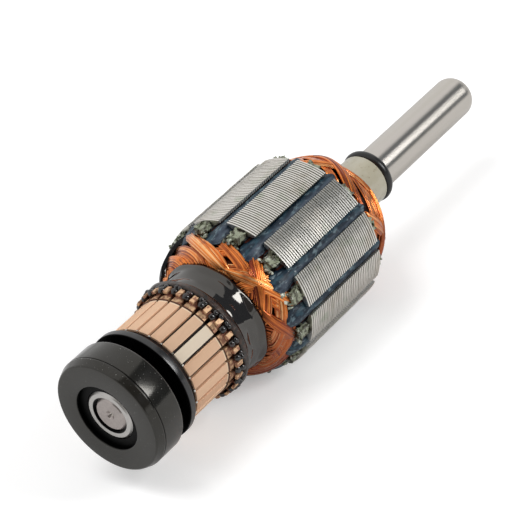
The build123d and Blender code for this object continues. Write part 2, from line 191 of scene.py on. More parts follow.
class Finish:
    """A procedural material on Object coordinates."""

    def __init__(self, name, colour, roughness, metallic=0.0, **sockets):
        self.material = bpy.data.materials.new(name)
        self.material.use_nodes = True
        self.tree = self.material.node_tree
        self.shader = self.tree.nodes["Principled BSDF"]
        self.colour = (*colour, 1.0)
        self.shader.inputs["Base Color"].default_value = self.colour
        self.roughness = roughness
        self.shader.inputs["Roughness"].default_value = roughness
        self.shader.inputs["Metallic"].default_value = metallic
        for socket, value in sockets.items():
            self.shader.inputs[socket.replace("_", " ")].default_value = value
        self.place = place_node(self.tree, "ShaderNodeTexCoord").outputs["Object"]
        self.normal = None
        self.material.diffuse_color = self.colour

    def axes(self):
        """The point's x, y and z as fields."""
        parts = place_node(self.tree, "ShaderNodeSeparateXYZ", Vector=self.place)
        return [Field(self.tree, parts.outputs[i]) for i in range(3)]

    def radius(self):
        """Distance of the point from the shaft's axis."""
        x, y, z = self.axes()
        return (y * y + z * z) ** 0.5

    def noise(self, size, detail=2.0, stretch=(1.0, 1.0, 1.0), offset=0.0):
        """Soft random pattern, with grains of about size millimetres."""
        mapping = place_node(self.tree, "ShaderNodeMapping", Vector=self.place)
        mapping.inputs["Scale"].default_value = stretch
        mapping.inputs["Location"].default_value = (offset, offset, offset)
        pattern = place_node(
            self.tree,
            "ShaderNodeTexNoise",
            Vector=mapping.outputs["Vector"],
            Scale=1.0 / (size * MM),
            Detail=detail,
        )
        return Field(self.tree, pattern.outputs[0])

    def attribute(self, name):
        """A number stored on the mesh."""
        found = place_node(self.tree, "ShaderNodeAttribute", {"attribute_name": name})
        return Field(self.tree, found.outputs["Fac"])

    def tint(self, amount, colour):
        """Blend the base colour towards another one."""
        base = self.shader.inputs["Base Color"]
        before = base.links[0].from_socket if base.links else self.colour
        mix = place_node(self.tree, "ShaderNodeMixRGB", Fac=amount, Color1=before, Color2=(*colour, 1.0))
        self.tree.links.new(mix.outputs[0], base)
        return self

    def rough(self, amount, roughness):
        """Blend the roughness towards another value."""
        socket = self.shader.inputs["Roughness"]
        before = self.roughness
        if socket.links:
            before = Field(self.tree, socket.links[0].from_socket)
        plug(self.tree, socket, amount * (roughness - before) + before)
        return self

    def dull(self, amount, level):
        """Blend the specular level towards another value."""
        socket = self.shader.inputs["Specular IOR Level"]
        before = socket.default_value
        plug(self.tree, socket, amount * (level - before) + before)
        return self

    def turned(self, strength):
        """Stretch reflections along the shaft, as fine grooves turned round it do."""
        round_shaft = place_node(self.tree, "ShaderNodeTangent", {"direction_type": "RADIAL", "axis": "X"})
        self.tree.links.new(round_shaft.outputs[0], self.shader.inputs["Tangent"])
        self.shader.inputs["Anisotropic"].default_value = strength
        self.shader.inputs["Anisotropic Rotation"].default_value = 0.25
        return self

    def relief(self, height, depth):
        """Bump from a height pattern, depth in millimetres."""
        bump = place_node(self.tree, "ShaderNodeBump", Height=height, Distance=depth * MM, Strength=1.0)
        if self.normal is not None:
            self.tree.links.new(self.normal, bump.inputs["Normal"])
        self.normal = bump.outputs["Normal"]
        self.tree.links.new(self.normal, self.shader.inputs["Normal"])
        return self


def ground_steel():
    finish = Finish("ground_steel", (0.56, 0.525, 0.485), 0.3, 1.0)
    finish.turned(0.85)
    finish.tint(finish.noise(1.2, 2.0, (0.02, 1.0, 1.0)).within(0.4, 0.7) * 0.35, (0.45, 0.43, 0.36))
    end_face = finish.axes()[0].before(shaft_front + 0.55, 0.05)
    marks = finish.noise(0.5, 4.0, offset=2.0).within(0.4, 0.7)
    finish.tint(end_face * 0.9, (0.40, 0.355, 0.335))
    finish.tint(end_face * marks * 0.4, (0.27, 0.24, 0.235))
    finish.relief(finish.noise(0.12, 2.0, (1.0, 0.03, 0.03)), 0.002)
    return finish.material


def bearing_steel():
    finish = Finish("bearing_steel", (0.50, 0.485, 0.465), 0.34, 1.0)
    # Painted shade: the ring's inner edge is painted black, as the dark gap round the shaft.
    painted_gap_shade = finish.radius().before(4.39, 0.03)
    finish.tint(painted_gap_shade, (0.002, 0.002, 0.002))
    grinding_marks = ((finish.radius() / MM) * 40.0).sine()
    finish.relief(grinding_marks, 0.004)
    return finish.material


def boot_rubber():
    finish = Finish("boot_rubber", (0.0085, 0.0078, 0.0065), 0.13, 0.0, Specular_IOR_Level=0.5)
    finish.shader.inputs["Specular Tint"].default_value = (1.0, 0.97, 0.90, 1.0)
    dust = finish.noise(0.32, 1.0).within(0.72, 0.76)
    haze = finish.noise(3.0, 4.0, offset=5.0).within(0.45, 0.75)
    finish.tint(haze * 0.4, (0.018, 0.018, 0.018))
    finish.tint(dust * 0.7, (0.20, 0.20, 0.19))
    x = finish.axes()[0]
    # Rim painted lighter: partly rub wear, partly a painted highlight where the rounded back edge catches
    # the light.
    rim = x.past(boot_back - 0.425, 0.075)
    finish.tint(rim * 0.5, (0.10, 0.098, 0.09))
    finish.rough(haze, 0.19)
    # Painted shade: the opening's inside wall is painted black, with its specular level lowered.
    painted_recess_shade = finish.radius().before(opening_radius + 0.1, 0.05)
    finish.tint(painted_recess_shade, (0.001, 0.001, 0.001))
    # Painted shade: the groove round the boot is painted black, with its specular level lowered.
    groove = x.past(boot_groove - 0.1, 0.03) * x.before(boot_groove + 0.1, 0.03)
    finish.tint(groove, (0.0, 0.0, 0.0))
    finish.dull(painted_recess_shade.at_least(groove), 0.05)
    finish.relief(finish.noise(0.25, 3.0), 0.006)
    return finish.material


def seal_rubber():
    # Black rubber, made darker still with its specular level lowered as painted shade deep in the boot's
    # opening.
    finish = Finish("seal_rubber", (0.002, 0.002, 0.002), 0.5, 0.0, Specular_IOR_Level=0.08)
    finish.relief(finish.noise(0.2, 3.0), 0.01)
    return finish.material


def ring_rubber():
    finish = Finish("ring_rubber", (0.006, 0.006, 0.006), 0.3, 0.0, Specular_IOR_Level=0.45)
    finish.relief(finish.noise(0.3, 2.0), 0.006)
    return finish.material


def disc_plastic():
    finish = Finish("disc_plastic", (0.010, 0.0098, 0.0098), 0.26, 0.0, Specular_IOR_Level=0.6)
    finish.tint(finish.noise(1.4, 3.0).within(0.5, 0.7) * 0.6, (0.028, 0.026, 0.03))
    # Painted shade: the disc's front face, in the gap behind the boot, is painted black with its specular
    # level lowered.
    face = finish.axes()[0].before(disc_front + 0.25, 0.1)
    finish.tint(face, (0.0005, 0.0005, 0.0005))
    finish.dull(face, 0.02)
    finish.relief(finish.noise(0.5, 3.0), 0.01)
    return finish.material


def cage_plastic():
    finish = Finish("cage_plastic", (0.62, 0.56, 0.4), 0.5, 0.0)
    finish.relief(finish.noise(0.4, 2.0), 0.01)
    return finish.material


def bush_steel():
    finish = Finish("bush_steel", (0.35, 0.34, 0.33), 0.4, 1.0)
    finish.relief(finish.noise(0.15, 2.0, (1.0, 0.05, 0.05)), 0.006)
    return finish.material


def bar_copper():
    finish = Finish("bar_copper", (0.90, 0.60, 0.40), 0.55, 0.45, Specular_IOR_Level=0.5)
    x = finish.axes()[0]
    tone = finish.attribute("bar_tone_and_highlight")
    finish.tint(tone.within(0.45, 0.0) * 0.5, (0.74, 0.43, 0.27))
    finish.tint(tone.within(0.7, 0.9) * 0.6, (0.93, 0.69, 0.49))
    finish.tint(finish.noise(1.6, 3.0, (0.4, 1.0, 1.0)).within(0.5, 0.8) * 0.2, (0.66, 0.37, 0.23))
    # Painted highlight: the one bar chosen in the ring is painted cream, as the lamp's reflection on it.
    finish.tint(tone.within(1.05, 1.15), (1.0, 0.86, 0.68))
    # Painted highlight: a light band at the end of the turned track, as the step's edge catching the
    # light.
    painted_edge_highlight = x.past(riser_front - 0.4, 0.05)
    finish.tint(painted_edge_highlight * 0.8, (1.0, 0.80, 0.58))
    shadow_line = x.past(riser_front - 0.09, 0.03)
    finish.tint(shadow_line, (0.10, 0.035, 0.02))
    riser = x.past(riser_front + 0.15, 0.03)
    finish.tint(riser, (0.66, 0.43, 0.25))
    hooks = x.past(riser_front + 1.3, 0.2)
    stains = finish.noise(0.8, 3.0, offset=7.0).within(0.46, 0.6)
    finish.tint(riser * stains * 0.75, (0.16, 0.035, 0.025))
    # Painted shade: dark red under and in front of the hooks.
    painted_shade_under_hooks = finish.radius().before(commutator_radius + 1.1, 0.1)
    finish.tint(hooks * painted_shade_under_hooks * 0.8, (0.20, 0.05, 0.03))
    finish.relief(finish.noise(0.1, 2.0, (1.0, 0.04, 0.04)), 0.003)
    return finish.material


def pale_chips():
    finish = Finish("pale_chips", (0.55, 0.54, 0.50), 0.4, 0.0, Specular_IOR_Level=0.6)
    finish.tint(finish.noise(0.6, 2.0).within(0.5, 0.6), (0.20, 0.18, 0.14))
    return finish.material


def commutator_resin():
    finish = Finish("commutator_resin", (0.007, 0.003, 0.002), 0.5, 0.0, Specular_IOR_Level=0.15)
    finish.tint(finish.noise(0.8, 3.0).within(0.55, 0.8) * 0.6, (0.04, 0.016, 0.01))
    finish.relief(finish.noise(0.35, 3.0), 0.02)
    return finish.material


def lead_varnish():
    finish = Finish("lead_varnish", (0.003, 0.002, 0.002), 0.12, 0.0, Specular_IOR_Level=0.75)
    finish.tint(finish.noise(1.4, 2.0, offset=1.0).within(0.6, 0.75), (0.05, 0.012, 0.008))
    return finish.material


def collar_varnish():
    finish = Finish("collar_varnish", (0.010, 0.009, 0.009), 0.07, 0.0, Specular_IOR_Level=0.9)
    finish.shader.inputs["Specular Tint"].default_value = (1.0, 0.96, 0.89, 1.0)
    band = finish.axes()[0].before(collar_front + 2.3, 0.3)
    grain = finish.noise(0.8, 4.0, (1.0, 1.0, 1.0), 4.0)
    finish.tint(band * grain.within(0.4, 0.7), (0.045, 0.022, 0.016))
    finish.rough(band, 0.32)
    finish.dull(band, 0.5)
    finish.relief(grain * band, 0.10)
    finish.relief(finish.noise(4.5, 1.0, offset=8.0), 0.06)
    return finish.material


def core_sheet():
    finish = Finish("core_sheet", (0.72, 0.695, 0.65), 0.3, 1.0)
    sheets = finish.noise(0.65, 1.0, (1.0, 0.02, 0.02), 2.0)
    finish.tint(sheets.within(0.5, 0.75) * 0.45, (0.46, 0.45, 0.39))
    stain = finish.noise(5.0, 4.0, offset=9.0)
    finish.tint(stain.within(0.52, 0.72) * 0.4, (0.46, 0.38, 0.28))
    finish.tint(finish.noise(3.5, 3.0, offset=11.0).within(0.56, 0.72) * 0.5, (0.40, 0.46, 0.34))
    finish.rough(stain.within(0.5, 0.8), 0.45)
    finish.relief(finish.noise(0.4, 3.0, (0.3, 1.0, 1.0)), 0.012)
    return finish.material


def sheet_varnish():
    finish = Finish("sheet_varnish", (0.075, 0.075, 0.055), 0.4, 0.0, Specular_IOR_Level=0.4)
    finish.tint(finish.noise(2.5, 3.0).within(0.45, 0.7), (0.13, 0.12, 0.095))
    y, z = finish.axes()[1:]
    # Grooves between the sheets are paler where y is above 1 mm or z below -2.5 mm.
    paler_side = y.past(1.0, 2.0).at_least(z.before(-2.5, 1.5) * 0.8)
    finish.tint(paler_side, (0.50, 0.475, 0.45))
    return finish.material


def enamelled_wire():
    finish = Finish("enamelled_wire", (0.80, 0.23, 0.04), 0.28, 1.0, Coat_Weight=0.5, Coat_Roughness=0.17)
    tone = finish.attribute("wire_tone_and_light")
    # Random tone of each wire and bundle, plus painted light: the Bright size lifts or lowers a whole coil
    # group's tone, so these tints also paint light and shade.
    finish.tint(tone.within(0.48, 0.12) * 0.94, (0.17, 0.018, 0.005))
    finish.tint(tone.within(0.68, 0.92) * 0.8, (1.0, 0.62, 0.28))
    # Wires darker towards the bottom of the winding.
    darker_towards_bottom = finish.axes()[2].before(2.0, 3.0)
    finish.tint(darker_towards_bottom * 0.65, (0.22, 0.032, 0.012))
    finish.tint(finish.noise(2.4, 3.0, offset=3.0).within(0.5, 0.7) * 0.65, (0.24, 0.035, 0.01))
    return finish.material


def coil_core_painted_shade():
    # Painted shade: the heads under the strands are dark red-brown, as the shade in the gaps between
    # bundles.
    finish = Finish("coil_core_painted_shade", (0.05, 0.009, 0.004), 0.6, 0.3, Specular_IOR_Level=0.2)
    finish.relief(finish.noise(0.5, 2.0, (0.4, 1.0, 1.0)), 0.1)
    return finish.material


def wedge_fibre():
    finish = Finish("wedge_fibre", (0.003, 0.011, 0.022), 0.34, 0.0, Specular_IOR_Level=0.28)
    sunny = finish.attribute("sunny_side")
    streaks = finish.noise(0.9, 4.0, (0.3, 1.0, 1.0))
    finish.tint(streaks.within(0.46, 0.60) * 0.85, (0.018, 0.050, 0.072))
    finish.tint(sunny * streaks.within(0.3, 0.6) * 0.85, (0.050, 0.062, 0.085))
    scuffs = finish.noise(0.9, 4.0, (0.5, 1.0, 1.0), 6.0)
    finish.tint(scuffs.within(0.55, 0.66) * 0.85, (0.11, 0.16, 0.185))
    torn = finish.noise(0.6, 5.0, (0.5, 1.0, 1.0), 13.0).within(0.69, 0.72)
    finish.tint(torn * 0.8, (0.32, 0.36, 0.38))
    finish.rough(streaks, 0.5)
    finish.relief(finish.noise(0.6, 4.0, (0.35, 1.0, 1.0), 3.0), 0.14)
    return finish.material


def slot_paper():
    finish = Finish("slot_paper", (0.012, 0.016, 0.02), 0.5, 0.0, Specular_IOR_Level=0.3)
    finish.tint(finish.noise(0.7, 3.0).within(0.5, 0.8) * 0.5, (0.05, 0.05, 0.045))
    finish.relief(finish.noise(0.3, 3.0), 0.02)
    return finish.material


def insulator_plastic():
    finish = Finish("insulator_plastic", (0.24, 0.26, 0.185), 0.3, 0.0, Specular_IOR_Level=0.5)
    # Painted shade: the insulator is painted dark inside 16.3 mm, where it lies under the winding.
    inner = finish.radius().before(16.3, 0.3)
    finish.tint(inner, (0.03, 0.028, 0.018))
    finish.tint(finish.noise(1.2, 3.0, offset=4.0).within(0.48, 0.56) * 0.92, (0.035, 0.03, 0.016))
    finish.relief(finish.noise(0.5, 4.0), 0.10)
    return finish.material


def fibre_crumbs():
    finish = Finish("fibre_crumbs", (0.17, 0.185, 0.13), 0.25, 0.0, Specular_IOR_Level=0.8)
    finish.tint(finish.noise(1.6, 2.0).within(0.5, 0.56), (0.50, 0.53, 0.44))
    finish.tint(finish.noise(1.4, 3.0, offset=4.0).within(0.5, 0.58), (0.035, 0.03, 0.016))
    finish.relief(finish.noise(0.5, 3.0), 0.06)
    return finish.material


def sleeve_fibre():
    finish = Finish("sleeve_fibre", (0.355, 0.33, 0.25), 0.24, 0.0, Specular_IOR_Level=0.6)
    finish.tint(finish.noise(2.0, 4.0, (0.6, 1.0, 1.0)).within(0.45, 0.75) * 0.6, (0.42, 0.40, 0.33))
    finish.tint(finish.noise(1.0, 3.0, offset=6.0).within(0.62, 0.75) * 0.5, (0.16, 0.12, 0.07))
    finish.relief(finish.noise(0.6, 3.0, (1.0, 0.3, 0.3)), 0.02)
    return finish.material


steel = ground_steel()
ring_steel = bearing_steel()
boot_finish = boot_rubber()
seal_finish = seal_rubber()
o_ring_finish = ring_rubber()
disc_finish = disc_plastic()
cage_finish = cage_plastic()
bush_finish = bush_steel()
copper = bar_copper()
pale_chip_finish = pale_chips()
resin = commutator_resin()
lead_finish = lead_varnish()
collar_finish = collar_varnish()
sheet_finish = core_sheet()
groove_finish = sheet_varnish()
wire_finish = enamelled_wire()
coil_finish = coil_core_painted_shade()
wedge_finish = wedge_fibre()
paper = slot_paper()
insulator_finish = insulator_plastic()
crumb_finish = fibre_crumbs()
sleeve_finish = sleeve_fibre()


# Making and dressing pieces


def dress(piece, body, slot, *stands_for):
    """Give a finished piece its body and hide the CAD nodes it stands for. The slot is not used."""
    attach(piece, body)
    if stands_for:
        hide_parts(*stands_for)
    return piece


def new_piece(name, mesh, smooth_angle=None):
    """Put a mesh into the scene as an object at the origin."""
    piece = bpy.data.objects.new(name, mesh)
    bpy.context.scene.collection.objects.link(piece)
    if smooth_angle is not None:
        shade(mesh, smooth_angle)
    return piece


def shade(mesh, angle):
    """Smooth shading with edges sharper than the angle kept hard."""
    for face in mesh.polygons:
        face.use_smooth = True
    mesh.set_sharp_from_angle(angle=math.radians(angle))


def turn_outwards(mesh, merge_within=None):
    """Turn the faces of closed parts outwards, after merging doubled points where a distance is given."""
    work = bmesh.new()
    work.from_mesh(mesh)
    if merge_within is not None:
        bmesh.ops.remove_doubles(work, verts=work.verts, dist=merge_within)
    bmesh.ops.recalc_face_normals(work, faces=work.faces)
    work.to_mesh(mesh)
    work.free()


def finished_mesh(holder):
    """Plain mesh of an object with its modifiers applied. The object itself is taken away."""
    bpy.context.view_layer.update()
    graph = bpy.context.evaluated_depsgraph_get()
    mesh = bpy.data.meshes.new_from_object(holder.evaluated_get(graph))
    bpy.data.objects.remove(holder)
    return mesh


def thin_sheet(name, points, columns, thickness, lit_side=None):
    """Closed sheet over a grid of points in millimetres. A number for each point may mark its lit side."""
    faces = []
    for i in range(len(points) // columns - 1):
        for j in range(columns - 1):
            a = i * columns + j
            faces.append((a, a + 1, a + columns + 1, a + columns))
    mesh = bpy.data.meshes.new(name)
    mesh.from_pydata([tuple(c * MM for c in point) for point in points], [], faces)
    if lit_side is not None:
        values = mesh.attributes.new("sunny_side", "FLOAT", "POINT")
        values.data.foreach_set("value", lit_side)
    sheet = new_piece(name + "_sheet", mesh)
    solid = sheet.modifiers.new("sheet", "SOLIDIFY")
    solid.thickness = thickness * MM
    solid.offset = 0.0
    thick = finished_mesh(sheet)
    turn_outwards(thick)
    return new_piece(name, thick, 50)


def rounded(corners, steps=5):
    """Closed outline through (x, radius, rounding) corners, with each rounding drawn as an arc."""
    outline = []
    count = len(corners)
    for i, (x, r, rounding) in enumerate(corners):
        here = Vector((x, r))
        if rounding <= 0:
            outline.append((x, r))
            continue
        before = Vector(corners[i - 1][:2]) - here
        after = Vector(corners[(i + 1) % count][:2]) - here
        angle = before.angle(after)
        run = min(rounding / math.tan(angle / 2), before.length * 0.49, after.length * 0.49)
        radius = run * math.tan(angle / 2)
        start = here + before.normalized() * run
        end = here + after.normalized() * run
        middle_way = before.normalized() + after.normalized()
        centre = here + middle_way.normalized() * (radius / math.sin(angle / 2))
        first = start - centre
        sweep = first.angle_signed(end - centre)
        for step in range(steps + 1):
            turned = first.copy()
            turned.rotate(Matrix.Rotation(-sweep * step / steps, 2))
            outline.append(tuple(centre + turned))
    return outline


def lathe(name, corners, segments=144, smooth_angle=30, steps=5, ripple=None):
    """Solid turned round the shaft's axis from a closed outline."""
    outline = rounded(corners, steps)
    points = []
    for segment in range(segments):
        turn = 2 * math.pi * segment / segments
        for x, r in outline:
            if ripple is not None:
                x, r = ripple(x, r, turn)
            points.append((x * MM, r * math.cos(turn) * MM, r * math.sin(turn) * MM))
    count = len(outline)
    faces = []
    for segment in range(segments):
        here = segment * count
        following = (segment + 1) % segments * count
        for i in range(count):
            j = (i + 1) % count
            faces.append((here + i, here + j, following + j, following + i))
    mesh = bpy.data.meshes.new(name)
    mesh.from_pydata(points, [], faces)
    turn_outwards(mesh, SAME_POINT)
    return new_piece(name, mesh, smooth_angle)


class Recipe:
    """A Geometry Nodes tree with named inputs, run once to give a plain mesh."""

    def __init__(self, name):
        self.tree = bpy.data.node_groups.new(name, "GeometryNodeTree")
        self.interface = self.tree.interface
        self.interface.new_socket("Geometry", in_out="INPUT", socket_type="NodeSocketGeometry")
        self.interface.new_socket("Geometry", in_out="OUTPUT", socket_type="NodeSocketGeometry")
        self.entry = self.tree.nodes.new("NodeGroupInput")
        self.exit = self.tree.nodes.new("NodeGroupOutput")
        self.sockets = {}
        self.units = {}

    def size(self, name, kind="NodeSocketFloat"):
        """A named input of the tree."""
        self.sockets[name] = self.interface.new_socket(name, in_out="INPUT", socket_type=kind)
        return Field(self.tree, self.entry.outputs[name])

    def count(self, name):
        """A named whole number."""
        return self.size(name, "NodeSocketInt")

    def length(self, name):
        """A named length, which run takes in millimetres."""
        self.units[name] = MM
        return self.size(name)

    def angle(self, name):
        """A named angle, which run takes in degrees."""
        self.units[name] = math.radians(1)
        return self.size(name)

    def add(self, kind, settings=None, **inputs):
        return place_node(self.tree, kind, settings, **inputs)

    def field(self, kind, output=0, settings=None, **inputs):
        return Field(self.tree, self.add(kind, settings, **inputs).outputs[output])

    def random(self, low, high, ident, seed):
        """Random number between two others for each ident."""
        dice = self.add("FunctionNodeRandomValue", {"data_type": "FLOAT"})
        plug(self.tree, dice.inputs[2], low)
        plug(self.tree, dice.inputs[3], high)
        plug(self.tree, dice.inputs["ID"], ident)
        plug(self.tree, dice.inputs["Seed"], seed)
        return Field(self.tree, dice.outputs[1])

    def vector(self, x, y, z):
        return self.add("ShaderNodeCombineXYZ", X=x, Y=y, Z=z).outputs[0]

    def round_axis(self, x, radius, angle):
        """Point at a place along the shaft, a radius and an angle."""
        return self.vector(x, radius * angle.cosine(), radius * angle.sine())

    def points_at_origin(self, count):
        """Points all in one place, for copies that are turned or moved by their number."""
        points = self.add("GeometryNodeMeshLine", Count=count)
        points.inputs["Offset"].default_value = (0.0, 0.0, 0.0)
        return points.outputs[0]

    def keep(self, geometry, domain, name, value):
        """Keep a number on the geometry, for its finish to read."""
        kept = self.add("GeometryNodeStoreNamedAttribute", {"data_type": "FLOAT", "domain": domain})
        self.tree.links.new(geometry, kept.inputs["Geometry"])
        kept.inputs["Name"].default_value = name
        plug(self.tree, kept.inputs["Value"], value)
        return kept.outputs[0]

    def close(self, geometry, smooth=None):
        """Realize, shade when smooth is given, set the material and hand the result out."""
        self.size("Material", "NodeSocketMaterial")
        last = self.add("GeometryNodeRealizeInstances", Geometry=geometry).outputs[0]
        if smooth is not None:
            shaded = self.add("GeometryNodeSetShadeSmooth", Shade_Smooth=smooth)
            self.tree.links.new(last, shaded.inputs[0])
            last = shaded.outputs[0]
        coated = self.add("GeometryNodeSetMaterial", Material=self.entry.outputs["Material"])
        self.tree.links.new(last, coated.inputs[0])
        self.tree.links.new(coated.outputs[0], self.exit.inputs[0])

    def run(self, name, start_mesh=None, **sizes):
        """Build a new piece. A size is given by its input's name in small letters, with _ for a space."""
        if start_mesh is None:
            start_mesh = bpy.data.meshes.new(name)
        holder = bpy.data.objects.new(name + "_holder", start_mesh)
        bpy.context.scene.collection.objects.link(holder)
        modifier = holder.modifiers.new("recipe", "NODES")
        modifier.node_group = self.tree
        for word, value in sizes.items():
            size = word.replace("_", " ").capitalize()
            if size in self.units:
                value *= self.units[size]
            modifier[self.sockets[size].identifier] = value
        mesh = finished_mesh(holder)
        mesh.name = name
        return new_piece(name, mesh)


def merged_copy(node, keep=None):
    """Mesh of a CAD node with its doubled points merged, and only the faces that keep accepts."""
    mesh = cad_nodes[node].data.copy()
    work = bmesh.new()
    work.from_mesh(mesh)
    bmesh.ops.remove_doubles(work, verts=work.verts, dist=SAME_POINT)
    if keep is not None:
        surplus = [face for face in work.faces if not keep(face)]
        bmesh.ops.delete(work, geom=surplus, context="FACES")
    bmesh.ops.dissolve_limit(work, angle_limit=math.radians(1), verts=work.verts, edges=work.edges)
    work.to_mesh(mesh)
    work.free()
    mesh.materials.clear()
    return mesh


def coat(piece, finish):
    """Give a piece one finish all over."""
    piece.data.materials.clear()
    piece.data.materials.append(finish)
    return piece


# Laminated core: one stamped sheet, repeated along the shaft


def sheet_recipe():
    """Copies of a flat outline along the shaft, each thickened and a little smaller by chance."""
    recipe = Recipe("sheet_stack")
    count = recipe.count("Sheets")
    pitch = recipe.length("Pitch")
    thickness = recipe.length("Thickness")
    first = recipe.length("First sheet")
    full_size = recipe.size("Size")
    play = recipe.size("Play")
    seed = recipe.count("Seed")
    sheet = recipe.entry.outputs["Geometry"]
    pressed = recipe.add("GeometryNodeExtrudeMesh", Mesh=sheet, Individual=False)
    plug(recipe.tree, pressed.inputs["Offset"], recipe.vector(thickness, 0.0, 0.0))
    plug(recipe.tree, pressed.inputs["Offset Scale"], 1.0)
    both = recipe.add("GeometryNodeJoinGeometry")
    turned = recipe.add("GeometryNodeFlipFaces", Mesh=pressed.outputs[0])
    recipe.tree.links.new(turned.outputs[0], both.inputs[0])
    recipe.tree.links.new(sheet, both.inputs[0])
    line = recipe.add("GeometryNodeMeshLine", Count=count)
    plug(recipe.tree, line.inputs["Start Location"], recipe.vector(first, 0.0, 0.0))
    plug(recipe.tree, line.inputs["Offset"], recipe.vector(pitch, 0.0, 0.0))
    index = recipe.field("GeometryNodeInputIndex")
    size = full_size - recipe.random(0.0, play, index, seed)
    stack = recipe.add(
        "GeometryNodeInstanceOnPoints",
        Points=line.outputs[0],
        Instance=both.outputs[0],
        Scale=recipe.vector(1.0, size, size),
    )
    merged = recipe.add("GeometryNodeRealizeInstances", Geometry=stack.outputs[0])
    welded = recipe.add("GeometryNodeMergeByDistance", Geometry=merged.outputs[0], Distance=0.001 * MM)
    recipe.close(welded.outputs[0], False)
    return recipe


def make_core():
    stamped_face = (core_front + 0.1) * MM
    sheet = merged_copy(
        "laminated_core",
        lambda face: face.normal.x < -0.9 and face.calc_center_median().x < stamped_face,
    )
    for vertex in sheet.vertices:
        vertex.co.x = 0.0
    pitch = (core_back - core_front) / sheet_count
    steel_share = 0.57
    steel_thickness = steel_share * pitch
    varnish_thickness = pitch - steel_thickness
    first_steel = core_front + varnish_thickness / 2
    recipe = sheet_recipe()
    sheets = recipe.run(
        "core_sheets",
        sheet,
        sheets=sheet_count,
        pitch=pitch,
        thickness=steel_thickness,
        first_sheet=first_steel,
        size=1.0,
        play=0.004,
        seed=11,
        material=sheet_finish,
    )
    turn_outwards(sheets.data)
    dress(sheets, ROTOR, "core_sheet", "laminated_core")
    varnish = recipe.run(
        "core_varnish",
        sheet,
        sheets=sheet_count - 1,
        pitch=pitch,
        thickness=varnish_thickness,
        first_sheet=first_steel + steel_thickness,
        size=0.991,
        play=0.002,
        seed=12,
        material=groove_finish,
    )
    turn_outwards(varnish.data)
    dress(varnish, ROTOR, "core_sheet")


make_core()


# Winding: varnished heads with wire strands laid over them


